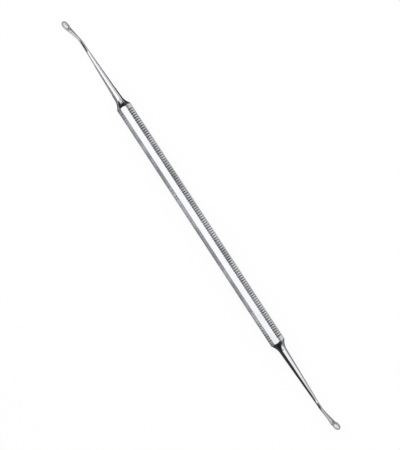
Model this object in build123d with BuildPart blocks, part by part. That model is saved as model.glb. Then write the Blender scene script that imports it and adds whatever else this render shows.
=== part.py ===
from build123d import *
from math import cos, radians, sin, sqrt, tan
import os

os.makedirs("parts", exist_ok=True)

# A double-ended bone curette, made from one steel bar. It lies on the lowest flat of its
# octagonal handle: X runs along the handle, Z points up, and the origin is the middle of
# that flat. One working end points to -X and has the longer, oval cup. The other points
# to +X and has the rounder cup. Millimetres and degrees.

# Handle: an octagonal bar between two turned shoulders
handle_length = 99.8
across_flats = 5.28

# Serrations: V grooves across the four slanting flats
groove_pitch = 0.9
groove_width = 0.46
groove_depth = 0.12
groove_margin = 1.4

# Shoulders and tapered necks, turned about the handle's axis
shoulder_angle = 36.0
shoulder_fillet = 5.8
neck_root_radius = 1.55
neck_taper_radius = 0.785
neck_taper_length = 20.0

# Bends of the oval end. The runs are measured along X: from the taper's end to the first
# bend, on to the second, and on to the toe. After each bend the neck has a rise in the
# side view and a drift towards +Y in the top view.
oval_first_run = 3.8
oval_first_rise_angle = 21.0
oval_first_drift_angle = 3.0
oval_first_bend_radius = 12.0
oval_second_run = 4.6
oval_second_rise_angle = 32.0
oval_second_drift_angle = -8.3
oval_second_bend_radius = 11.0
oval_toe_run = 8.8

# Bends of the round end, measured the same way
round_first_run = 5.8
round_first_rise_angle = 18.0
round_first_drift_angle = 2.6
round_first_bend_radius = 7.0
round_second_run = 2.7
round_second_rise_angle = 33.0
round_second_drift_angle = 12.9
round_second_bend_radius = 7.0
round_toe_run = 9.25

# Necks past the bends: thinnest at the second bend, then flattened and flared to the heel
waist_radius = 0.54
flat_half_thickness = 0.46
flare_curve = 1.7
heel_half_thickness = 0.58
oval_heel_half_width = 0.98
round_heel_half_width = 1.08

# Cups: spoons whose openings lean towards +Y, with the neck's crown just below the rim
cup_width = 2.36
cup_depth = 1.15
cup_rim = 0.38
cup_lean_angle = 30.0
cup_heel_fullness = 0.96
crown_drop = 0.04
oval_cup_length = 4.1
round_cup_length = 3.7

axis_height = across_flats / 2
corner_radius = axis_height / cos(radians(22.5))
flat_width = 2 * axis_height * tan(radians(22.5))
handle_end = handle_length / 2
handle_axis = Axis((0, 0, axis_height), (1, 0, 0))


def turned_outline_points():
    """Return one side's outline of the turned envelope, from over the handle to the neck."""
    over_bar = 1.2 * corner_radius
    cone = tan(radians(shoulder_angle))
    taper = (neck_root_radius - neck_taper_radius) / neck_taper_length
    meeting = (corner_radius - neck_root_radius) / (cone - taper)
    return [
        (handle_end - (over_bar - corner_radius) / cone, over_bar),
        (handle_end + meeting, corner_radius - meeting * cone),
        (handle_end + neck_taper_length, neck_taper_radius),
    ]


def groove_comb():
    """Return the cutter for one flat: a row of wedges under a bar that clears the flat."""
    clearance = groove_depth / 2
    bar_height = 3 * groove_depth
    count = int((handle_length - 2 * groove_margin) / groove_pitch) + 1
    first = -groove_pitch * (count - 1) / 2
    half_width = groove_width / 2 * (groove_depth + clearance) / groove_depth
    top = across_flats + clearance
    outline = []
    for index in range(count):
        x = first + index * groove_pitch
        outline += [(x - half_width, top), (x, across_flats - groove_depth), (x + half_width, top)]
    outline += [(-first + half_width, top + bar_height), (first - half_width, top + bar_height)]
    with BuildPart() as comb:
        with BuildSketch(Plane.XZ):
            with BuildLine():
                Polyline(outline, close=True)
            make_face()
        extrude(amount=flat_width / 2 + 2 * groove_depth, both=True)
    return comb.part


def working_end(side, first_bend, second_bend, toe_run, heel_half_width, cup_length):
    """Return the bent end of a neck with its cup.

    side is -1 or 1 along X. Each bend is its run, rise angle, drift angle and radius.
    """
    opening = Vector(0, sin(radians(cup_lean_angle)), cos(radians(cup_lean_angle)))

    def direction(rise_angle, drift_angle):
        return Vector(side, tan(radians(drift_angle)), tan(radians(rise_angle))).normalized()

    first_run, first_rise, first_drift, first_radius = first_bend
    second_run, second_rise, second_drift, second_radius = second_bend
    root = Vector(side * (handle_end + neck_taper_length), 0, axis_height)
    first_point = root + Vector(side * first_run, 0, 0)
    slope = direction(first_rise, first_drift)
    second_point = first_point + slope * (side * second_run / slope.X)
    heading = direction(second_rise, second_drift)
    normal = (opening - heading * heading.dot(opening)).normalized()
    rim_lift = flat_half_thickness + crown_drop
    rim_start = second_point + normal * rim_lift
    toe = rim_start + heading * ((side * toe_run - normal.X * rim_lift) / heading.X)
    line_end = toe - normal * rim_lift
    with BuildLine() as path:
        FilletPolyline(root, first_point, second_point, line_end, radius=[first_radius, second_radius])
    course = path.wires()[0]
    length = course.length
    straight = (line_end - second_point).length

    # Sections as distance back from the toe, half width, half thickness and lift
    taper = (neck_root_radius - neck_taper_radius) / neck_taper_length
    settle = first_run / 5
    sections = [
        (length - run, neck_taper_radius - taper * run, neck_taper_radius - taper * run, 0)
        for run in (0, settle, first_run)
    ]
    sections.append((straight, waist_radius, waist_radius, 0))
    for share in (0.4, 0.7):
        half_width = waist_radius + (heel_half_width - waist_radius) * share**flare_curve
        sections.append((straight - (straight - cup_length) * share, half_width, flat_half_thickness, 0))
    sections.append((cup_length, heel_half_width, heel_half_thickness, 0))
    for share in (0.72, 0.5, 0.27, 0.11, 0.03, 0.008):
        swell = sqrt(1 - (2 * share - 1) ** 2) if share <= 0.5 else cup_heel_fullness
        sections.append((cup_length * share, cup_width / 2 * swell, cup_depth * swell, rim_lift))

    rim_plane = Plane(origin=toe, x_dir=heading * -1, z_dir=normal)
    with BuildPart() as end:
        faces = []
        for back, half_width, half_thickness, lift in sections:
            place = course.position_at(length - back, position_mode=PositionMode.LENGTH)
            along = course.tangent_at(length - back, position_mode=PositionMode.LENGTH)
            upward = along.cross(opening.cross(along)).normalized()
            centre = place + upward * lift
            with BuildSketch(Plane(origin=centre, x_dir=upward * -1, z_dir=along), mode=Mode.PRIVATE) as slice:
                Ellipse(half_thickness, half_width)
            faces.append(slice.sketch)
        loft(faces + [Vertex(toe)])

        # The top is milled flat at the rim, then the bowl is hollowed
        with BuildSketch(rim_plane):
            with Locations((cup_length / 2, 0)):
                Rectangle(cup_length + 2 * heel_half_width, 2 * cup_width)
        extrude(amount=cup_width, mode=Mode.SUBTRACT)
        with BuildSketch(rim_plane):
            with BuildLine():
                bowl_end = EllipticalCenterArc(
                    (cup_length / 2, 0), cup_length / 2 - cup_rim, cup_width / 2 - cup_rim, arc_size=180
                )
                Line(bowl_end @ 1, bowl_end @ 0)
            make_face()
        revolve(axis=Axis(toe, heading), mode=Mode.SUBTRACT)
    return end.part


comb = groove_comb()
oval_end = working_end(
    -1,
    (oval_first_run, oval_first_rise_angle, oval_first_drift_angle, oval_first_bend_radius),
    (oval_second_run, oval_second_rise_angle, oval_second_drift_angle, oval_second_bend_radius),
    oval_toe_run,
    oval_heel_half_width,
    oval_cup_length,
)
round_end = working_end(
    1,
    (round_first_run, round_first_rise_angle, round_first_drift_angle, round_first_bend_radius),
    (round_second_run, round_second_rise_angle, round_second_drift_angle, round_second_bend_radius),
    round_toe_run,
    round_heel_half_width,
    round_cup_length,
)

with BuildPart() as curette:
    # The octagonal bar, as long as the turned part of the necks
    with BuildSketch(Plane(origin=(0, 0, axis_height), x_dir=(0, 1, 0), z_dir=(1, 0, 0))):
        RegularPolygon(radius=axis_height, side_count=8, major_radius=False, rotation=22.5)
    extrude(amount=handle_end + neck_taper_length, both=True)

    # Shoulders and necks, turned from the bar
    with BuildSketch(Plane(origin=(0, 0, axis_height), x_dir=(1, 0, 0), z_dir=(0, -1, 0))):
        with BuildLine():
            inner, corner, outer = turned_outline_points()
            right = FilletPolyline(inner, corner, outer, radius=shoulder_fillet)
            left = FilletPolyline(
                (-inner[0], inner[1]), (-corner[0], corner[1]), (-outer[0], outer[1]), radius=shoulder_fillet
            )
            Line(left @ 0, right @ 0)
            Polyline(right @ 1, (outer[0], 0), (-outer[0], 0), left @ 1)
        make_face()
    revolve(axis=handle_axis, mode=Mode.INTERSECT)

    # Serrations on the four slanting flats
    for turn in (45, 135, 225, 315):
        add(comb.rotate(handle_axis, turn), mode=Mode.SUBTRACT)

    add(oval_end)
    add(round_end)

curette.part.label = "curette"
export_step(curette.part, "parts/curette.step")
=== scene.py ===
"""A double-ended bone curette in polished steel, lying on a white studio table.

The steel is modelled in millimetres, straight and with the handle's axis on the X axis, as a
maker would machine it from octagonal bar. Its ends are bent afterwards, and the last step
lifts it onto the table and shrinks it to metres.
"""

import logging
from collections.abc import Callable
from dataclasses import dataclass
from enum import Enum
from math import atan2, cos, pi, radians, sin, sqrt, tan
from typing import NamedTuple

import bpy
from mathutils import Euler, Matrix, Vector


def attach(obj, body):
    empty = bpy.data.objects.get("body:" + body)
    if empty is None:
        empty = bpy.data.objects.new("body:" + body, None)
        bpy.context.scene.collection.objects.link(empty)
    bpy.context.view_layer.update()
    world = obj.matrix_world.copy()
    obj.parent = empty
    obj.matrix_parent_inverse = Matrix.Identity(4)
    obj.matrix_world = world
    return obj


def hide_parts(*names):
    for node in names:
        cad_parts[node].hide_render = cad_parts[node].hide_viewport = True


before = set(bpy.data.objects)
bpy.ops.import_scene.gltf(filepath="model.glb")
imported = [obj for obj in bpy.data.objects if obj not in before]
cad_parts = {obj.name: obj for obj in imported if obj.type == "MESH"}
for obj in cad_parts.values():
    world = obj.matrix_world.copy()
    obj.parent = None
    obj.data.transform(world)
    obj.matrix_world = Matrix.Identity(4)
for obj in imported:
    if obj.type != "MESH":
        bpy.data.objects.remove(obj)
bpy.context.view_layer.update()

logging.basicConfig(level=logging.INFO, format="%(message)s")
log = logging.getLogger("curette")

# One millimetre, in metres
MM = 0.001

# How near counts as touching, in millimetres
TOUCH = 0.001

# Half of the angle that one flat of the octagon takes up
HALF_FLAT = radians(22.5)

Colour = tuple[float, float, float, float]
Knot = tuple[Vector, Vector, Vector]
Piece = bpy.types.Object
Span = tuple[float, float]
Socket = bpy.types.NodeSocket
Source = Socket | float | tuple[float, ...] | Vector | Euler


class Side(Enum):
    """Which way along X a working end points."""

    OVAL = -1
    ROUND = 1


class Cut(Enum):
    """What a cutting tool does to a piece."""

    TAKE_AWAY = "DIFFERENCE"
    KEEP_INSIDE = "INTERSECT"


class Ring(NamedTuple):
    """One ring of the blank, in millimetres, at x from the handle's middle."""

    x: float
    half_width: float
    half_thickness: float
    lift: float


# Modelling by hand


def start_clean() -> None:
    """Leave edit mode and select nothing."""
    if bpy.context.object and bpy.context.object.mode != "OBJECT":
        bpy.ops.object.mode_set(mode="OBJECT")
    bpy.ops.object.select_all(action="DESELECT")


def pick(piece: Piece) -> None:
    """Select one piece alone and make it the active one.

    Args:
        piece: the piece.
    """
    start_clean()
    piece.select_set(True)
    bpy.context.view_layer.objects.active = piece


def edit(piece: Piece) -> None:
    """Open one piece in edit mode with all of it selected.

    Args:
        piece: the mesh.
    """
    pick(piece)
    bpy.ops.object.mode_set(mode="EDIT")
    bpy.ops.mesh.select_all(action="SELECT")


def close() -> None:
    """Return to object mode."""
    bpy.ops.object.mode_set(mode="OBJECT")


def settled() -> Piece:
    """Apply a new primitive's place and turn to its mesh.

    Returns:
        The primitive, which is the active object.
    """
    piece = bpy.context.object
    bpy.ops.object.transform_apply(location=True, rotation=True, scale=True)
    return piece


def apply(piece: Piece, modifier: bpy.types.Modifier) -> None:
    """Apply one modifier to its piece."""
    pick(piece)
    bpy.ops.object.modifier_apply(modifier=modifier.name)


def combine(piece: Piece, tool: Piece, cut: Cut) -> None:
    """Cut a piece with a tool, then throw the tool away.

    Args:
        piece: the mesh that is kept.
        tool: the mesh that cuts it.
        cut: what the tool does.
    """
    cutter = piece.modifiers.new("cut", "BOOLEAN")
    cutter.operation = cut.value
    cutter.solver = "EXACT"
    cutter.object = tool
    apply(piece, cutter)
    bpy.data.objects.remove(tool)


def merge_close(piece: Piece, distance: float = 0.0005) -> None:
    """Merge a piece's doubles and turn its faces outwards.

    Args:
        piece: the mesh to clean, in millimetres.
        distance: how close two points are to be one.
    """
    edit(piece)
    bpy.ops.mesh.remove_doubles(threshold=distance)
    bpy.ops.mesh.normals_make_consistent(inside=False)
    close()


def select_faces(piece: Piece, wanted: Callable[[bpy.types.MeshPolygon], bool]) -> None:
    """Open a piece in edit mode with only some faces selected.

    Args:
        piece: the mesh.
        wanted: a test that takes a face and says whether it is selected.
    """
    edit(piece)
    bpy.ops.mesh.select_all(action="DESELECT")
    close()
    for face in piece.data.polygons:
        face.select = wanted(face)
    bpy.ops.object.mode_set(mode="EDIT")


def join(pieces: list[Piece]) -> Piece:
    """Join pieces into the first of them.

    Args:
        pieces: the meshes, of which the first is kept.

    Returns:
        The joined mesh.
    """
    start_clean()
    for piece in pieces:
        piece.select_set(True)
    bpy.context.view_layer.objects.active = pieces[0]
    bpy.ops.object.join()
    return pieces[0]


def flowing(keys: list[tuple[float, ...]], place: float) -> tuple[float, ...]:
    """Interpolate between keys with a curve that flows through them.

    Args:
        keys: tuples of a falling place and the values there.
        place: where the values are wanted.

    Returns:
        The values at that place.
    """
    index = 0
    while index < len(keys) - 2 and place < keys[index + 1][0]:
        index += 1
    before, after = keys[index], keys[index + 1]
    span = after[0] - before[0]
    share = (place - before[0]) / span

    def slope(at: int, value: int) -> float:
        """Return how steeply one value runs at a key."""
        low, high = max(at - 1, 0), min(at + 1, len(keys) - 1)
        return (keys[high][value] - keys[low][value]) / (keys[high][0] - keys[low][0])

    values = []
    for value in range(1, len(before)):
        start, end = before[value], after[value]
        rise, fall = slope(index, value) * span, slope(index + 1, value) * span
        bent = (2 * share**3 - 3 * share**2 + 1) * start + (share**3 - 2 * share**2 + share) * rise
        bent += (3 * share**2 - 2 * share**3) * end + (share**3 - share**2) * fall
        values.append(bent)
    return tuple(values)


# The steel


@dataclass
class Bar:
    """The octagonal bar with its serrated flats, all in millimetres.

    The bar is longer than the handle by spare at each end, and the wedges that cut its
    grooves are wedge_excess times as deep and wide as they are.
    """

    handle_length: float = 99.8
    across_flats: float = 5.28
    spare: float = 48.0
    edge_chamfer: float = 0.07
    groove_pitch: float = 0.9
    groove_width: float = 0.46
    groove_depth: float = 0.12
    groove_margin: float = 1.4
    wedge_excess: float = 1.5

    @property
    def axis_height(self) -> float:
        """Height of the axis over the flat that the handle lies on."""
        return self.across_flats / 2

    @property
    def corner_radius(self) -> float:
        """Radius of the octagon's corners."""
        return self.axis_height / cos(HALF_FLAT)

    @property
    def flat_width(self) -> float:
        """Width of one flat."""
        return 2 * self.axis_height * tan(HALF_FLAT)

    @property
    def handle_end(self) -> float:
        """Where the handle ends and a shoulder starts."""
        return self.handle_length / 2

    def serration_tool(self) -> Piece:
        """Model the wedges that cut the serrations of the four slanting flats.

        Returns:
            One mesh with all the wedges.
        """
        count = int((self.handle_length - 2 * self.groove_margin) / self.groove_pitch) + 1
        first = -self.groove_pitch * (count - 1) / 2
        height = self.groove_depth * self.wedge_excess
        half_width = self.groove_width / 2 * self.wedge_excess
        apex = self.axis_height - self.groove_depth
        # A triangle of radius 1 is 1.5 high and 2 cos 30 degrees wide, and its apex is 1 down
        wider, higher = half_width / cos(pi / 6), height / 1.5
        wedges = []
        for turn in range(4):
            start_clean()
            bpy.ops.mesh.primitive_cylinder_add(
                vertices=3,
                radius=1,
                depth=self.flat_width + 4 * self.groove_depth,
                location=(0, 0, 0),
                rotation=(-pi / 2, 0, 0),
            )
            wedge = settled()
            edit(wedge)
            bpy.ops.transform.resize(value=(wider, 1, higher), center_override=(0, 0, 0))
            bpy.ops.transform.translate(value=(first, 0, apex + higher))
            close()
            row = wedge.modifiers.new("row", "ARRAY")
            row.count = count
            row.use_relative_offset = False
            row.use_constant_offset = True
            row.constant_offset_displace = (self.groove_pitch, 0, 0)
            apply(wedge, row)
            edit(wedge)
            bpy.ops.transform.rotate(
                value=radians(45 + 90 * turn), orient_axis="X", center_override=(0, 0, 0)
            )
            close()
            wedges.append(wedge)
        return join(wedges)

    def build(self) -> Piece:
        """Model the bar, longer than the curette, with chamfered edges and its serrations.

        Returns:
            The bar.
        """
        start_clean()
        bpy.ops.mesh.primitive_cylinder_add(
            vertices=8,
            radius=self.corner_radius,
            depth=self.handle_length + 2 * self.spare,
            location=(0, 0, 0),
            rotation=(0, pi / 2, 0),
        )
        bar = settled()
        edit(bar)
        bpy.ops.transform.rotate(value=HALF_FLAT, orient_axis="X", center_override=(0, 0, 0))
        bpy.ops.mesh.select_all(action="DESELECT")
        close()
        for edge in bar.data.edges:
            ends = [bar.data.vertices[i].co for i in edge.vertices]
            edge.select = abs(ends[0].x - ends[1].x) > self.spare
        bpy.ops.object.mode_set(mode="EDIT")
        bpy.ops.mesh.select_mode(type="EDGE")
        bpy.ops.mesh.bevel(offset=self.edge_chamfer, segments=1, affect="EDGES")
        bpy.ops.mesh.select_mode(type="FACE")
        close()
        combine(bar, self.serration_tool(), Cut.TAKE_AWAY)
        return bar


@dataclass
class Bend:
    """One bend of a neck: the run along X up to it, the rise and drift after it, its radius."""

    run: float
    rise: float
    drift: float
    radius: float


@dataclass
class WorkingEnd:
    """A shoulder, its tapered neck and its cup, modelled straight and towards +X.

    Sizes are millimetres and degrees. The blank is blank_excess times as wide as the bar, and
    the cup's top is milled from heel_clearance before its heel.
    """

    bar: Bar
    side: Side
    first: Bend
    second: Bend
    toe_run: float
    cup_length: float
    heel_half_width: float
    shoulder_angle: float = 36.0
    shoulder_fillet: float = 5.8
    neck_root_radius: float = 1.55
    neck_taper_radius: float = 0.785
    neck_taper_length: float = 20.0
    settle_share: float = 0.2
    waist_radius: float = 0.54
    flat_half_thickness: float = 0.46
    heel_half_thickness: float = 0.58
    flare_curve: float = 1.7
    flare_shares: tuple[float, ...] = (0.4, 0.7)
    cup_width: float = 2.36
    cup_depth: float = 1.15
    cup_rim: float = 0.38
    cup_lean: float = 30.0
    cup_heel_share: float = 0.72
    cup_heel_fullness: float = 0.96
    crown_drop: float = 0.04
    blank_excess: float = 1.2
    heel_clearance: float = 1.2
    points_round: int = 96
    fillet_rows: int = 22
    taper_rows: int = 10
    neck_rows: int = 64
    toe_rows: int = 16
    bowl_rows: int = 64

    def __post_init__(self) -> None:
        """Work out the course of the neck's centre line and the cup's attitude."""
        sign = self.side.value
        self.rim_lift: float = self.flat_half_thickness + self.crown_drop
        root = Vector((sign * (self.bar.handle_end + self.neck_taper_length), 0, 0))
        self.root: Vector = root
        self.first_point: Vector = root + Vector((sign * self.first.run, 0, 0))
        slope = self.direction(self.first)
        second_run = slope * (sign * self.second.run / slope.x)
        self.second_point: Vector = self.first_point + second_run
        self.heading: Vector = self.direction(self.second)
        opening = Vector((0, sin(radians(self.cup_lean)), cos(radians(self.cup_lean))))
        square = opening - self.heading * self.heading.dot(opening)
        self.normal: Vector = square.normalized()
        reach = (sign * self.toe_run - self.normal.x * self.rim_lift) / self.heading.x
        self.tip: Vector = self.second_point + self.heading * reach
        first_turn = slope.angle(Vector((sign, 0, 0)))
        second_turn = slope.angle(self.heading)
        saved = self.first.radius * (2 * tan(first_turn / 2) - first_turn)
        saved += self.second.radius * (2 * tan(second_turn / 2) - second_turn)
        self.straight: float = (self.tip - self.second_point).length
        before = self.first.run + (self.second_point - self.first_point).length
        self.bent_length: float = before + self.straight - saved
        self.reach: float = abs(root.x) + self.bent_length

    @property
    def taper(self) -> float:
        """How much the turned neck's radius falls with each millimetre."""
        return (self.neck_root_radius - self.neck_taper_radius) / self.neck_taper_length

    def direction(self, bend: Bend) -> Vector:
        """Return the neck's direction after a bend."""
        side = Vector((self.side.value, tan(radians(bend.drift)), tan(radians(bend.rise))))
        return side.normalized()

    def bowl_sizes(self) -> tuple[float, float, float]:
        """Return the bowl's half length, half width and depth."""
        rim = self.cup_rim
        return self.cup_length / 2 - rim, self.cup_width / 2 - rim, self.cup_depth - rim

    def bowl_attitude(self) -> tuple[Vector, Euler]:
        """Work out where the bent cup opens.

        Returns:
            The middle of the opening, from the handle's axis, and the cup's turn.
        """
        middle = self.tip + self.normal * self.rim_lift - self.heading * (self.cup_length / 2)
        across = self.normal.cross(self.heading)
        turn = Matrix((self.heading, across, self.normal)).transposed().to_euler()
        return middle, turn

    def roll(self) -> float:
        """Work out how far the cup's opening is rolled from straight up.

        Returns:
            The angle about the neck's axis, in radians.
        """
        upright = Vector((0, 0, 1))
        upright = (upright - self.heading * self.heading.dot(upright)).normalized()
        along = self.heading * self.side.value
        return atan2(upright.cross(self.normal).dot(along), upright.dot(self.normal))

    def turned_rings(self) -> list[Ring]:
        """Work out the rings of the shoulder and the turned neck.

        Returns:
            The rings, from the handle's middle outwards.
        """
        angle = radians(self.shoulder_angle)
        cone = tan(angle)
        radius = self.bar.corner_radius
        over_bar = self.blank_excess * radius
        meeting = (radius - self.neck_root_radius) / (cone - self.taper)
        corner = Vector((self.bar.handle_end + meeting, radius - meeting * cone))
        turn = angle - atan2(self.taper, 1)
        start = corner - Vector((cos(angle), -sin(angle))) * self.shoulder_fillet * tan(turn / 2)
        centre = start + Vector((sin(angle), cos(angle))) * self.shoulder_fillet
        outline = [(0.0, over_bar), (self.bar.handle_end - (over_bar - radius) / cone, over_bar)]
        for row in range(self.fillet_rows + 1):
            lean = angle - turn * row / self.fillet_rows
            point = centre - Vector((sin(lean), cos(lean))) * self.shoulder_fillet
            outline.append((point.x, point.y))
        bend_start = self.bar.handle_end + self.neck_taper_length
        last = outline[-1][0]
        for row in range(1, self.taper_rows + 1):
            x = last + (bend_start - last) * row / self.taper_rows
            outline.append((x, self.neck_taper_radius + (bend_start - x) * self.taper))
        return [Ring(x, half, half, 0.0) for x, half in outline]

    def neck_rings(self) -> list[Ring]:
        """Work out the rings from the turned neck's end to the cup's middle.

        Returns:
            The rings, which flow through the neck's key sections.
        """
        # A key is the distance back from the toe, half width, half thickness and lift
        keys = []
        for run in (0.0, self.first.run * self.settle_share, self.first.run):
            radius = self.neck_taper_radius - self.taper * run
            keys.append((self.bent_length - run, radius, radius, 0.0))
        keys.append((self.straight, self.waist_radius, self.waist_radius, 0.0))
        for share in self.flare_shares:
            flare = (self.heel_half_width - self.waist_radius) * share**self.flare_curve
            half_width = self.waist_radius + flare
            back = self.straight - (self.straight - self.cup_length) * share
            keys.append((back, half_width, self.flat_half_thickness, 0.0))
        keys.append((self.cup_length, self.heel_half_width, self.heel_half_thickness, 0.0))
        for share, swell in ((self.cup_heel_share, self.cup_heel_fullness), (0.5, 1.0)):
            half_width, half_thickness = self.cup_width / 2 * swell, self.cup_depth * swell
            keys.append((self.cup_length * share, half_width, half_thickness, self.rim_lift))
        rings = []
        for row in range(1, self.neck_rows + 1):
            run = (self.cup_length / 2 - self.bent_length) * row / self.neck_rows
            back = self.bent_length + run
            rings.append(Ring(self.reach - back, *flowing(keys, back)))
        return rings

    def toe_rings(self) -> list[Ring]:
        """Work out the rings from the cup's middle to its toe, along a half ellipse.

        Returns:
            The rings, but not the point of the toe.
        """
        rings = []
        for row in range(1, self.toe_rows):
            angle = pi / 2 * row / self.toe_rows
            back = self.cup_length / 2 * (1 - sin(angle))
            half_width = self.cup_width / 2 * cos(angle)
            half_thickness = self.cup_depth * cos(angle)
            rings.append(Ring(self.reach - back, half_width, half_thickness, self.rim_lift))
        return rings

    def build(self) -> Piece:
        """Model the end straight, as half of the turned blank, and mirror the oval one to -X.

        Returns:
            The half blank, open at the handle's middle.
        """
        rings = self.turned_rings() + self.neck_rings() + self.toe_rings()
        start_clean()
        bpy.ops.mesh.primitive_circle_add(
            vertices=self.points_round,
            radius=rings[0].half_width,
            fill_type="NOTHING",
            rotation=(0, pi / 2, 0),
        )
        blank = settled()
        edit(blank)
        bpy.ops.mesh.select_mode(type="EDGE")
        bpy.ops.mesh.select_all(action="SELECT")
        for before, ring in zip(rings, rings[1:]):
            bpy.ops.mesh.extrude_region_move(
                TRANSFORM_OT_translate={"value": (ring.x - before.x, 0, ring.lift - before.lift)}
            )
            wider = ring.half_width / before.half_width
            thicker = ring.half_thickness / before.half_thickness
            bpy.ops.transform.resize(
                value=(1, wider, thicker), center_override=(ring.x, 0, ring.lift)
            )
        bpy.ops.mesh.extrude_region_move(
            TRANSFORM_OT_translate={"value": (self.reach - rings[-1].x, 0, 0)}
        )
        bpy.ops.mesh.merge(type="CENTER")
        bpy.ops.mesh.select_all(action="DESELECT")
        bpy.ops.mesh.select_non_manifold()
        bpy.ops.mesh.edge_face_add()
        bpy.ops.mesh.select_all(action="SELECT")
        bpy.ops.mesh.normals_make_consistent(inside=False)
        close()
        self.hollow(blank)
        self.roll_cup(blank)
        select_faces(blank, lambda face: face.center.x < TOUCH)
        bpy.ops.mesh.delete(type="ONLY_FACE")
        close()
        if self.side is Side.OVAL:
            edit(blank)
            bpy.ops.transform.resize(value=(-1, 1, 1), center_override=(0, 0, 0))
            close()
        return blank

    def hollow(self, blank: Piece) -> None:
        """Mill the cup's top flat at the rim and grind out its bowl.

        Args:
            blank: the half blank, straight and towards +X.
        """
        heel = self.reach - self.cup_length - self.heel_clearance
        select_faces(blank, lambda face: face.center.x > heel)
        bpy.ops.mesh.bisect(
            plane_co=(0, 0, self.rim_lift), plane_no=(0, 0, 1), clear_outer=True, use_fill=True
        )
        close()
        bpy.ops.mesh.primitive_uv_sphere_add(
            segments=self.points_round,
            ring_count=self.bowl_rows,
            radius=1,
            location=(0, 0, 0),
            rotation=(0, pi / 2, 0),
        )
        bowl = settled()
        edit(bowl)
        bpy.ops.transform.resize(value=self.bowl_sizes(), center_override=(0, 0, 0))
        bpy.ops.transform.translate(value=(self.reach - self.cup_length / 2, 0, self.rim_lift))
        close()
        combine(blank, bowl, Cut.TAKE_AWAY)

    def roll_cup(self, blank: Piece) -> None:
        """Roll the cup about the neck's axis, spread over the neck's round stretch.

        Args:
            blank: the half blank, straight and towards +X.
        """
        bend_start = self.reach - self.bent_length
        start_clean()
        bpy.ops.object.empty_add(location=(bend_start, 0, 0))
        pivot = bpy.context.object
        twist = blank.modifiers.new("roll", "SIMPLE_DEFORM")
        twist.deform_method = "TWIST"
        twist.deform_axis = "X"
        twist.origin = pivot
        twist.angle = self.roll()
        twist.limits = (bend_start / self.reach, (self.reach - self.straight) / self.reach)
        apply(blank, twist)
        bpy.data.objects.remove(pivot)


BAR = Bar()
OVAL_END = WorkingEnd(
    bar=BAR,
    side=Side.OVAL,
    first=Bend(run=3.8, rise=21.0, drift=3.0, radius=12.0),
    second=Bend(run=4.6, rise=32.0, drift=-8.3, radius=11.0),
    toe_run=8.795,
    cup_length=4.1,
    heel_half_width=0.98,
)
ROUND_END = WorkingEnd(
    bar=BAR,
    side=Side.ROUND,
    first=Bend(run=5.8, rise=18.0, drift=2.6, radius=7.0),
    second=Bend(run=2.7, rise=33.0, drift=12.9, radius=7.0),
    toe_run=9.24,
    cup_length=3.7,
    heel_half_width=1.08,
)


@dataclass
class Curette:
    """The whole instrument, one piece of steel.

    The centre line that it is bent along has handles of straight_handle millimetres on its
    straight stretches. Edges of less than smooth_angle degrees are shaded smooth.
    """

    bar: Bar
    oval_end: WorkingEnd
    round_end: WorkingEnd
    straight_handle: float = 0.3
    curve_steps: int = 64
    smooth_angle: float = 14.0

    def end_knots(self, end: WorkingEnd) -> list[Knot]:
        """Work out the centre line's knots along one working end, with true arcs at its bends.

        Args:
            end: the working end.

        Returns:
            Each knot's left handle, point and right handle, in the order towards +X.
        """
        corners = [end.root, end.first_point, end.second_point, end.tip]
        bends = (end.first, end.second)
        knots = []
        for before, corner, after, bend in zip(corners, corners[1:], corners[2:], bends):
            into, out = (corner - before).normalized(), (after - corner).normalized()
            turn = into.angle(out)
            reach = bend.radius * tan(turn / 2)
            # A curve with handles of this length follows an arc
            handle = bend.radius * 4 / 3 * tan(turn / 4)
            start, finish = corner - into * reach, corner + out * reach
            knots.append((start - into * self.straight_handle, start, start + into * handle))
            knots.append((finish - out * handle, finish, finish + out * self.straight_handle))
        lead = end.heading * self.straight_handle
        knots.append((end.tip - lead, end.tip, end.tip + lead))
        if end.side is Side.OVAL:
            knots = [(right, middle, left) for left, middle, right in reversed(knots)]
        return knots

    def centre_line(self) -> Piece:
        """Draw the curve that the blank is bent along, from the oval toe to the round toe.

        Returns:
            The curve.
        """
        knots = self.end_knots(self.oval_end) + self.end_knots(self.round_end)
        start_clean()
        bpy.ops.curve.primitive_bezier_curve_add(radius=1, location=(0, 0, 0))
        line = bpy.context.object
        spline = line.data.splines[0]
        spline.bezier_points.add(len(knots) - len(spline.bezier_points))
        for point, (left, middle, right) in zip(spline.bezier_points, knots):
            point.handle_left_type = point.handle_right_type = "FREE"
            point.co, point.handle_left, point.handle_right = middle, left, right
        line.data.dimensions = "3D"
        line.data.twist_mode = "Z_UP"
        line.data.resolution_u = self.curve_steps
        return line

    def bend(self, steel: Piece) -> None:
        """Bend both necks along the centre line, and leave the handle where it is.

        Args:
            steel: the straight curette, in millimetres.
        """
        edit(steel)
        bpy.ops.transform.translate(value=(self.oval_end.reach, 0, 0))
        close()
        line = self.centre_line()
        course = steel.modifiers.new("course", "CURVE")
        course.object = line
        course.deform_axis = "POS_X"
        apply(steel, course)
        bpy.data.objects.remove(line)

    def build(self) -> Piece:
        """Model the curette in one piece.

        Returns:
            The finished mesh, in metres, in the frame of the part.
        """
        blank = join([self.oval_end.build(), self.round_end.build()])
        merge_close(blank)
        steel = self.bar.build()
        combine(steel, blank, Cut.KEEP_INSIDE)
        self.bend(steel)
        merge_close(steel)
        edit(steel)
        bpy.ops.transform.translate(value=(0, 0, self.bar.axis_height))
        bpy.ops.transform.resize(value=(MM, MM, MM), center_override=(0, 0, 0))
        close()
        pick(steel)
        bpy.ops.object.shade_smooth_by_angle(angle=radians(self.smooth_angle))
        steel.name = steel.data.name = "curette_steel"
        return steel

    def dress(self, steel: Piece) -> None:
        """Give the curette its finish.

        Args:
            steel: the finished mesh.
        """
        finish = PolishedSteel(self.bar, (self.oval_end, self.round_end))
        steel.data.materials.clear()
        steel.data.materials.append(finish.material())


# Shader nodes


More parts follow.
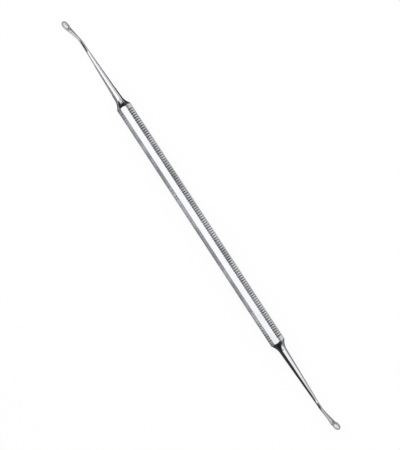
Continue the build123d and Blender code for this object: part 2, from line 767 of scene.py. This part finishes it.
class Mixed(Enum):
    """What a Mix node mixes: its data type, its two inputs and its output."""

    COLOURS = ("RGBA", 6, 7, 2)
    NUMBERS = ("FLOAT", 2, 3, 0)


class NodeDesk:
    """Places and links the shader nodes of one material or of the world."""

    def __init__(self, tree: bpy.types.NodeTree) -> None:
        """Start from an empty tree."""
        self.tree = tree
        tree.nodes.clear()

    def add(self, kind: str, **settings: object) -> bpy.types.Node:
        """Place one node.

        Args:
            kind: the node's type.
            settings: the node's own properties.

        Returns:
            The node.
        """
        node = self.tree.nodes.new(kind)
        for name, value in settings.items():
            setattr(node, name, value)
        return node

    def feed(self, node: bpy.types.Node, name: str | int, source: Source) -> None:
        """Give one input of a node a fixed value or another node's output.

        Args:
            node: the node.
            name: the input's name or number.
            source: the value or the output.
        """
        if isinstance(source, Socket):
            self.tree.links.new(source, node.inputs[name])
        else:
            node.inputs[name].default_value = source

    def maths(self, operation: str, first: Source, second: Source = 0.0) -> Socket:
        """Combine two numbers.

        Args:
            operation: the Math node's operation.
            first: a number or an output.
            second: a number or an output.

        Returns:
            The result's output.
        """
        node = self.add("ShaderNodeMath", operation=operation)
        self.feed(node, 0, first)
        self.feed(node, 1, second)
        return node.outputs[0]

    def times(self, first: Source, second: Source) -> Socket:
        """Return the output of one number multiplied by another."""
        return self.maths("MULTIPLY", first, second)

    def ramp(self, value: Socket, span: Span, start: float = 0.0, end: float = 1.0) -> Socket:
        """Turn a value smoothly from one number into another.

        Args:
            value: the output that is read.
            span: the values where the turn begins and where it ends.
            start: the result at the span's first value and below.
            end: the result at the span's last value and above.

        Returns:
            The result's output.
        """
        node = self.add("ShaderNodeMapRange", interpolation_type="SMOOTHSTEP")
        names = ("Value", "From Min", "From Max", "To Min", "To Max")
        for name, number in zip(names, (value, *span, start, end)):
            self.feed(node, name, number)
        return node.outputs["Result"]

    def mix(self, kind: Mixed, share: Source, first: Source, second: Source) -> Socket:
        """Mix two colours or two numbers.

        Args:
            kind: what is mixed.
            share: how much of the second shows, from 0 to 1.
            first: a colour, a number or an output.
            second: the same.

        Returns:
            The mixture's output.
        """
        data_type, first_input, second_input, output = kind.value
        node = self.add("ShaderNodeMix", data_type=data_type)
        self.feed(node, 0, share)
        self.feed(node, first_input, first)
        self.feed(node, second_input, second)
        return node.outputs[output]

    def seen_directly(self) -> Socket:
        """Tell what the camera sees, also in metal and through glass, from the rest.

        Returns:
            The output that is 1 for what the camera sees, and else 0.
        """
        path = self.add("ShaderNodeLightPath")
        reflected = self.maths(
            "MAXIMUM", path.outputs["Is Glossy Ray"], path.outputs["Is Transmission Ray"]
        )
        return self.maths("MAXIMUM", path.outputs["Is Camera Ray"], reflected)


@dataclass(frozen=True)
class Pattern:
    """An uneven pattern in the steel.

    Its stretch says how many features there are per millimetre along X, Y and Z, and its
    detail how many finer layers are added.
    """

    stretch: tuple[float, float, float]
    detail: float

    def draw(self, desk: NodeDesk, place: Socket) -> Socket:
        """Make the pattern's nodes.

        Args:
            desk: the material's nodes.
            place: the place on the steel, in millimetres.

        Returns:
            The pattern's output, from 0 to 1.
        """
        spread = desk.add("ShaderNodeMapping")
        desk.feed(spread, "Vector", place)
        desk.feed(spread, "Scale", self.stretch)
        noise = desk.add("ShaderNodeTexNoise")
        desk.feed(noise, "Vector", spread.outputs[0])
        desk.feed(noise, "Scale", 1.0)
        desk.feed(noise, "Detail", self.detail)
        return noise.outputs[0]


@dataclass(frozen=True)
class CupMasks:
    """Finds the matt floor of one cup's bowl, and the wall and rim around it, which are painted
    darker as shade.

    All spans are measured in the bowl's own sizes. From its middle, 1 is its edge, and up and
    down, 0 is its rim.
    """

    end: WorkingEnd
    bowl_edge: Span = (1.02, 1.06)
    floor_height: Span = (-0.65, -0.3)
    rim_height: Span = (0.02, 0.05)
    rim_reach: Span = (1.5, 1.8)

    def find(self, desk: NodeDesk, place: Socket) -> tuple[Socket, Socket]:
        """Make the masks' nodes.

        Args:
            desk: the material's nodes.
            place: the place on the steel, in millimetres from the handle's axis.

        Returns:
            The outputs of the two masks, 1 on the floor, and 1 on the rim and in the bowl, which
            get painted shade.
        """
        middle, turn = self.end.bowl_attitude()
        inside = desk.add("ShaderNodeMapping", vector_type="TEXTURE")
        desk.feed(inside, "Vector", place)
        desk.feed(inside, "Location", middle)
        desk.feed(inside, "Rotation", turn)
        desk.feed(inside, "Scale", self.end.bowl_sizes())
        length = desk.add("ShaderNodeVectorMath", operation="LENGTH")
        desk.feed(length, 0, inside.outputs[0])
        distance = length.outputs["Value"]
        split = desk.add("ShaderNodeSeparateXYZ")
        desk.feed(split, 0, inside.outputs[0])
        height = split.outputs["Z"]
        level = desk.ramp(desk.maths("ABSOLUTE", height), self.rim_height, 1.0, 0.0)
        around = desk.ramp(distance, self.rim_reach, 1.0, 0.0)
        bowl = desk.ramp(distance, self.bowl_edge, 1.0, 0.0)
        floor = desk.times(bowl, desk.ramp(height, self.floor_height, 1.0, 0.0))
        return floor, desk.maths("MAXIMUM", bowl, desk.times(level, around))


@dataclass(frozen=True)
class HandleMasks:
    """Finds the slanting flats, their grooves and the worn edges between the flats.

    Sizes and spans are millimetres. The shoulders are cones of shoulder_angle degrees.
    """

    bar: Bar
    shoulder_angle: float
    shoulder_edge: Span = (0.005, 0.035)
    flat_edge: float = 0.03
    worn_edge: Span = (0.02, 0.09)
    dish_depth: float = 0.057

    def find(self, desk: NodeDesk, place: Socket) -> tuple[Socket, Socket, Socket, Socket]:
        """Make the masks' nodes.

        Args:
            desk: the material's nodes.
            place: the place on the steel, in millimetres from the handle's axis.

        Returns:
            The outputs of the three masks, and of the slight dish of the slanting flats.
        """
        split = desk.add("ShaderNodeSeparateXYZ")
        desk.feed(split, 0, place)
        along, aside, above = (desk.maths("ABSOLUTE", output) for output in split.outputs)
        squares = [desk.times(size, size) for size in (aside, above)]
        radius = desk.maths("SQRT", desk.maths("ADD", *squares))
        cone = tan(radians(self.shoulder_angle))
        limit = self.bar.handle_end * cone + self.bar.corner_radius
        within = desk.maths("SUBTRACT", limit, desk.times(along, cone))
        on_bar = desk.ramp(desk.maths("SUBTRACT", within, radius), self.shoulder_edge)
        nearest = desk.maths("MINIMUM", aside, above)
        edge = self.bar.flat_width / 2
        slanting = desk.ramp(nearest, (edge - self.flat_edge, edge + self.flat_edge))
        flats = desk.times(slanting, on_bar)
        reach = desk.times(desk.maths("ADD", aside, above), 1 / sqrt(2))
        depth = desk.maths("SUBTRACT", self.bar.axis_height, reach)
        grooves = desk.times(desk.ramp(depth, (0.0, self.bar.groove_depth)), flats)
        off_edge = desk.maths("ABSOLUTE", desk.maths("SUBTRACT", nearest, edge))
        edges = desk.times(desk.ramp(off_edge, self.worn_edge, 1.0, 0.0), on_bar)
        lean = desk.maths("SUBTRACT", aside, above)
        off_middle = desk.times(lean, 1 / sqrt(2) / edge)
        bowed = desk.maths("SUBTRACT", desk.times(off_middle, off_middle), 1.0)
        dish = desk.times(desk.times(bowed, flats), self.dish_depth)
        return flats, grooves, edges, dish


@dataclass(frozen=True)
class PolishedSteel:
    """Mirror-polished stainless steel, left satin on the serrated flats and matt in the bowls.

    A pattern's span says between which of its values one tone turns into the other. Heights
    are millimetres.
    """

    bar: Bar
    ends: tuple[WorkingEnd, ...]
    polished_colour: Colour = (0.735, 0.74, 0.77, 1)
    satin_colour: Colour = (0.71, 0.715, 0.75, 1)
    dull_colour: Colour = (0.32, 0.322, 0.34, 1)
    # Dark in the grooves: painted shade in the recesses, with soot
    groove_shade_and_soot_colour: Colour = (0.1, 0.1, 0.108, 1)
    worn_colour: Colour = (0.82, 0.825, 0.845, 1)
    # Dark on the cups' rims and bowl walls: painted shade
    painted_rim_shade_colour: Colour = (0.41, 0.412, 0.43, 1)
    bowl_colour: Colour = (0.83, 0.835, 0.86, 1)
    bowl_sheen: float = 0.3
    bowl_roughness: float = 0.42

    # Mirror polish, a little uneven in patches and smeared along the streaks
    polished_roughness: float = 0.11
    polished_spread: float = 0.08
    polished_span: Span = (0.25, 0.75)
    smear: float = 0.05
    smear_span: Span = (0.35, 0.75)

    # Satin flats, uneven in patches
    satin_roughness: float = 0.24
    satin_spread: float = 0.1
    satin_span: Span = (0.3, 0.7)

    patches: Pattern = Pattern(stretch=(0.22, 0.5, 0.5), detail=2.0)
    streaks: Pattern = Pattern(stretch=(0.12, 5.0, 5.0), detail=3.0)
    streak_height: float = 0.002
    streak_tone: float = 0.08
    streak_span: Span = (0.3, 0.7)
    scratches: Pattern = Pattern(stretch=(0.6, 22.0, 22.0), detail=2.0)
    scratch_height: float = 0.0005

    # Grime dulls the slanting flats in patches, and painted shade with soot darkens some of their
    # grooves
    grime: Pattern = Pattern(stretch=(0.12, 0.12, 0.12), detail=5.0)
    grime_span: Span = (0.38, 0.62)
    grime_least: float = 0.05
    grime_tone: float = 0.7
    groove_soot_and_shade: Pattern = Pattern(stretch=(0.75, 0.1, 0.1), detail=1.0)
    groove_soot_and_shade_span: Span = (0.42, 0.6)

    def material(self) -> bpy.types.Material:
        """Make the steel's material.

        Returns:
            The material, which reads Object coordinates.
        """
        steel = bpy.data.materials.new("polished_steel")
        steel.use_nodes = True
        desk = NodeDesk(steel.node_tree)
        place = self.place(desk)
        handle = HandleMasks(self.bar, self.ends[0].shoulder_angle)
        flats, grooves, edges, dish = handle.find(desk, place)
        cups = [CupMasks(end).find(desk, place) for end in self.ends]
        floors, rims_with_painted_shade = (desk.maths("MAXIMUM", *masks) for masks in zip(*cups))
        streaks = self.streaks.draw(desk, place)
        patches = self.patches.draw(desk, place)
        scratches = self.scratches.draw(desk, place)
        grime = desk.ramp(self.grime.draw(desk, place), self.grime_span, self.grime_least)

        # Picks the grooves that get painted shade and soot
        groove_soot_and_shade = desk.ramp(self.groove_soot_and_shade.draw(desk, place), self.groove_soot_and_shade_span)
        stain = desk.ramp(streaks, self.streak_span, 0.0, self.streak_tone)
        colour = desk.mix(Mixed.COLOURS, flats, self.polished_colour, self.satin_colour)
        for mask, next_colour in (
            # Painted shade and soot in some of the grooves
            (desk.times(grooves, groove_soot_and_shade), self.groove_shade_and_soot_colour),
            (desk.times(desk.times(flats, grime), self.grime_tone), self.dull_colour),
            (edges, self.worn_colour),
            # Painted shade on the cups' rims and bowl walls
            (rims_with_painted_shade, self.painted_rim_shade_colour),
            (floors, self.bowl_colour),
            (stain, self.dull_colour),
        ):
            colour = desk.mix(Mixed.COLOURS, mask, colour, next_colour)

        least = self.polished_roughness - self.polished_spread / 2
        most = least + self.polished_spread
        polish = desk.ramp(patches, self.polished_span, least, most)
        smears = desk.ramp(streaks, self.smear_span, 0.0, self.smear)
        polish = desk.maths("ADD", polish, smears)
        least = self.satin_roughness - self.satin_spread / 2
        satin = desk.ramp(patches, self.satin_span, least, least + self.satin_spread)
        roughness = desk.mix(Mixed.NUMBERS, flats, polish, satin)
        roughness = desk.mix(Mixed.NUMBERS, floors, roughness, self.bowl_roughness)

        fine = desk.times(scratches, self.scratch_height)
        height = desk.times(streaks, self.streak_height)
        height = desk.maths("ADD", height, desk.maths("ADD", fine, dish))
        relief = desk.add("ShaderNodeBump")
        desk.feed(relief, "Strength", 1.0)
        desk.feed(relief, "Distance", MM)
        desk.feed(relief, "Height", height)

        shader = desk.add("ShaderNodeBsdfPrincipled")
        metallic = desk.mix(Mixed.NUMBERS, floors, 1.0, self.bowl_sheen)
        desk.feed(shader, "Metallic", metallic)
        desk.feed(shader, "Base Color", colour)
        desk.feed(shader, "Roughness", roughness)
        desk.feed(shader, "Normal", relief.outputs[0])
        out = desk.add("ShaderNodeOutputMaterial")
        desk.feed(out, "Surface", shader.outputs[0])
        return steel

    def place(self, desk: NodeDesk) -> Socket:
        """Find the place on the steel.

        Args:
            desk: the material's nodes.

        Returns:
            The place's output, in millimetres from the handle's axis.
        """
        coordinates = desk.add("ShaderNodeTexCoord")
        shift = desk.add("ShaderNodeMapping")
        desk.feed(shift, "Vector", coordinates.outputs["Object"])
        desk.feed(shift, "Scale", (1 / MM, 1 / MM, 1 / MM))
        desk.feed(shift, "Location", (0, 0, -self.bar.axis_height))
        return shift.outputs[0]


# The studio


@dataclass(frozen=True)
class TableTop:
    """A white table that keeps a faint soft shadow.

    It is size metres wide and drop millimetres under the curette. The camera and the steel
    see it as plain white by the share glow, and as lit for the rest.
    """

    size: float = 3.0
    drop: float = 0.02
    glow: float = 0.88
    colour: Colour = (0.95, 0.95, 0.95, 1)

    def build(self) -> Piece:
        """Lay the table under the curette.

        Returns:
            The table.
        """
        start_clean()
        bpy.ops.mesh.primitive_plane_add(size=self.size, location=(0, 0, -self.drop * MM))
        table = bpy.context.object
        table.name = "table"
        white = bpy.data.materials.new("white_table")
        white.use_nodes = True
        desk = NodeDesk(white.node_tree)
        matt = desk.add("ShaderNodeBsdfDiffuse")
        desk.feed(matt, "Color", self.colour)
        plain = desk.add("ShaderNodeEmission")
        desk.feed(plain, "Strength", 1.0)
        shown = desk.add("ShaderNodeMixShader")
        desk.feed(shown, 0, desk.times(desk.seen_directly(), self.glow))
        desk.feed(shown, 1, matt.outputs[0])
        desk.feed(shown, 2, plain.outputs[0])
        out = desk.add("ShaderNodeOutputMaterial")
        desk.feed(out, "Surface", shown.outputs[0])
        table.data.materials.append(white)
        return table


# Heights of the cards that lie on the table, between it and the curette, in metres
LOWER_SHEET = -0.000012
UPPER_SHEET = -0.000008


@dataclass(frozen=True)
class Card:
    """A card that only the steel reflects: a softbox's face, a grey card or a dark flag.

    Its centre and size are in metres, and its turns in degrees.
    """

    name: str
    centre: tuple[float, float, float]
    length: float
    width: float
    turn: float = 0.0
    tilt: float = 0.0
    light: float = 0.0
    soft_edge: float = 0.0
    one_sided: bool = False

    def build(self) -> Piece:
        """Set the card up.

        Returns:
            The card.
        """
        start_clean()
        bpy.ops.mesh.primitive_plane_add(
            size=1, location=self.centre, rotation=(radians(self.tilt), 0, radians(self.turn))
        )
        card = bpy.context.object
        card.scale = (self.length, self.width, 1)
        bpy.ops.object.transform_apply(location=False, rotation=False, scale=True)
        card.name = self.name
        card.data.materials.append(self.face())
        card.visible_camera = False
        card.visible_diffuse = False
        card.visible_shadow = False
        return card

    def face(self) -> bpy.types.Material:
        """Make the card's face, which fades at its edges if they are soft.

        Returns:
            The material.
        """
        face = bpy.data.materials.new(self.name)
        face.use_nodes = True
        desk = NodeDesk(face.node_tree)
        glow = desk.add("ShaderNodeEmission")
        desk.feed(glow, "Strength", self.light)
        if self.soft_edge:
            coordinates = desk.add("ShaderNodeTexCoord")
            split = desk.add("ShaderNodeSeparateXYZ")
            desk.feed(split, 0, coordinates.outputs["Object"])
            fades = []
            for output, size in zip(split.outputs, (self.length, self.width)):
                off_middle = desk.maths("ABSOLUTE", output)
                fading = (size / 2 - self.soft_edge, size / 2)
                fades.append(desk.ramp(off_middle, fading, 1.0, 0.0))
            desk.feed(glow, "Strength", desk.times(desk.times(*fades), self.light))
        shown = glow
        if self.one_sided:
            sides = desk.add("ShaderNodeNewGeometry")
            shown = desk.add("ShaderNodeMixShader")
            desk.feed(shown, 0, sides.outputs["Backfacing"])
            desk.feed(shown, 1, glow.outputs[0])
            desk.feed(shown, 2, desk.add("ShaderNodeBsdfTransparent").outputs[0])
        out = desk.add("ShaderNodeOutputMaterial")
        desk.feed(out, "Surface", shown.outputs[0])
        return face


@dataclass(frozen=True)
class Viewpoint:
    """The camera, nearly overhead, with the handle slanting down to the right.

    Its distance is in metres and its turns are in degrees. The picture's height and the aim
    beside the middle of the handle are in millimetres, and so is the sensor.
    """

    distance: float = 6.0
    tilt: float = 8.1
    slant: float = 33.17
    picture_height: float = 159.885
    aim_right: float = 0.28
    aim_up: float = 0.12
    sensor: float = 36.0

    def build(self, axis_height: float) -> Piece:
        """Place the camera over the middle of the handle.

        Args:
            axis_height: the height of the handle's axis, in millimetres.

        Returns:
            The camera.
        """
        tilt, slant = radians(self.tilt), radians(self.slant)
        along, across = Vector((1, 0, 0)), Vector((0, cos(tilt), -sin(tilt)))
        right = along * sin(slant) + across * cos(slant)
        up = across * sin(slant) - along * cos(slant)
        back = right.cross(up)
        target = (Vector((0, 0, axis_height)) - right * self.aim_right - up * self.aim_up) * MM
        attitude = Matrix((right, up, back)).transposed()
        start_clean()
        bpy.ops.object.camera_add(
            location=target + back * self.distance, rotation=attitude.to_euler()
        )
        camera = bpy.context.object
        camera.data.sensor_width = self.sensor
        camera.data.lens = self.sensor * self.distance / (self.picture_height * MM)
        bpy.context.scene.camera = camera
        return camera


# The lights, and the dark room around them
LIGHTS_AND_ROOM = (
    Card("softbox", (-0.0195, 0.0884, 0.25), 1.1, 0.377, turn=47.4, light=1.34, soft_edge=0.062),
    Card("softbox_flag", (-0.4, -0.3, 0.245), 0.5, 0.52, light=0.03),
    Card("fade_right", (0.12, 0.1, 0.243), 0.06, 0.24, light=0.4),
    Card("left_light", (-0.25, 0.2, 0.249), 0.24, 0.26, light=1.1, soft_edge=0.06),
    Card("far_light", (0, 0.64, 0.255), 0.7, 0.54, light=1.1, soft_edge=0.04),
    Card("ceiling", (0, 0, 0.26), 1.8, 1.8, light=0.02),
    Card("wall_left", (-0.9, 0, 0.13), 1.8, 0.26, turn=90, tilt=90, light=0.05),
    Card("wall_right", (0.9, 0, 0.13), 1.8, 0.26, turn=90, tilt=90, light=0.05),
    Card("wall_near", (0, -0.9, 0.13), 1.8, 0.26, tilt=90, light=0.12),
    Card("wall_far", (0.3, 0.9, 0.13), 1.2, 0.26, tilt=90, light=0.85),
    Card("corner_far", (-0.6, 0.9, 0.13), 0.6, 0.26, tilt=90, light=0.6),
    Card("dark_far", (0, 0.88, 0.03), 0.6, 0.06, tilt=90, light=0.1),
    Card("grey_far", (0, 0.88, 0.16), 0.6, 0.16, tilt=90, light=1.1),
)

# Cards across the handle's ends, which only the necks beyond them reflect
CARDS_AT_SHOULDERS = (
    Card("card_right", (0.05, -0.007, 0.0163), 0.048, 0.0226, 90, 90, light=0.64, one_sided=True),
    Card("rim_right", (0.05, 0.0385, 0.0163), 0.043, 0.0226, 90, 90, light=0.7, one_sided=True),
    Card("flag_right", (0.05, 0.002, 0.0616), 0.07, 0.068, 90, 90, light=0.04, one_sided=True),
    Card("card_left", (-0.05, 0.014, 0.0161), 0.09, 0.0224, -90, 90, light=0.78, one_sided=True),
    Card("flag_left", (-0.05, 0.002, 0.0583), 0.066, 0.062, -90, 90, light=0.04, one_sided=True),
)

# Cards on the table under the curette, and one that stands beside its left neck
LOW_CARDS = (
    Card("near_table", (0, -0.45, LOWER_SHEET), 0.1, 0.9, light=0.68),
    Card("far_table", (0, 0.45, LOWER_SHEET), 0.1, 0.9, light=0.06),
    Card("far_side", (0, 0.012, UPPER_SHEET), 0.1, 0.022, light=0.5),
    Card("dark_left", (-0.475, 0, LOWER_SHEET), 0.85, 1.8, light=0.04),
    Card("dark_right", (0.475, 0, LOWER_SHEET), 0.85, 1.8, light=0.04),
    Card("neck_near", (-0.062, -0.012, UPPER_SHEET), 0.012, 0.024, light=0.5),
    Card("neck_far", (-0.0628, 0.0045, UPPER_SHEET), 0.0104, 0.009, light=0.33),
    Card("near_left", (-0.066, -0.05, 0.02), 0.028, 0.026, tilt=90, light=0.5),
    Card("bend_left", (-0.091, -0.012, UPPER_SHEET), 0.046, 0.024, light=0.85),
    Card("far_left", (-0.091, 0.012, UPPER_SHEET), 0.046, 0.024, light=0.25),
    Card("far_right", (0.0655, 0.013, UPPER_SHEET), 0.025, 0.024, light=0.3),
    Card("bend_right", (0.095, 0, UPPER_SHEET), 0.034, 0.048, light=0.55),
)


@dataclass(frozen=True)
class Studio:
    """The table, the soft light, the cards that the steel reflects, and the camera."""

    table: TableTop = TableTop()
    viewpoint: Viewpoint = Viewpoint()
    ambient: float = 0.7
    lamp_power: float = 2.2
    lamp_size: float = 0.5
    lamp_place: tuple[float, float, float] = (-0.1, 0.15, 0.7)
    cards: tuple[Card, ...] = LIGHTS_AND_ROOM + CARDS_AT_SHOULDERS + LOW_CARDS

    def light_world(self) -> None:
        """Give the world a white look and an even light."""
        world = bpy.data.worlds.new("white_room")
        world.use_nodes = True
        bpy.context.scene.world = world
        desk = NodeDesk(world.node_tree)
        extra = desk.times(desk.seen_directly(), 1 - self.ambient)
        room = desk.add("ShaderNodeBackground")
        desk.feed(room, "Color", (1, 1, 1, 1))
        desk.feed(room, "Strength", desk.maths("ADD", extra, self.ambient))
        out = desk.add("ShaderNodeOutputWorld")
        desk.feed(out, "Surface", room.outputs[0])

    def hang_lamp(self) -> Piece:
        """Hang a large soft lamp over the table.

        Returns:
            The lamp.
        """
        start_clean()
        bpy.ops.object.light_add(type="AREA", location=self.lamp_place)
        lamp = bpy.context.object
        lamp.name = "soft_lamp"
        lamp.data.size = self.lamp_size
        lamp.data.energy = self.lamp_power
        lamp.visible_glossy = False
        return lamp

    def build(self, axis_height: float) -> None:
        """Set the whole studio up.

        Args:
            axis_height: the height of the handle's axis, in millimetres.
        """
        self.light_world()
        self.hang_lamp()
        self.table.build()
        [card.build() for card in self.cards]
        self.viewpoint.build(axis_height)
        bpy.context.scene.view_settings.view_transform = "Standard"


def main() -> None:
    """Build the curette and its studio, and hand the curette to the frame."""
    curette = Curette(BAR, OVAL_END, ROUND_END)
    steel = curette.build()
    curette.dress(steel)
    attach(steel, "root")
    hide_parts("curette")
    log.info("curette: %d faces", len(steel.data.polygons))
    studio = Studio()
    studio.build(curette.bar.axis_height)
    log.info("studio: a table, a lamp, a camera and %d cards", len(studio.cards))


if __name__ == "__main__":
    main()
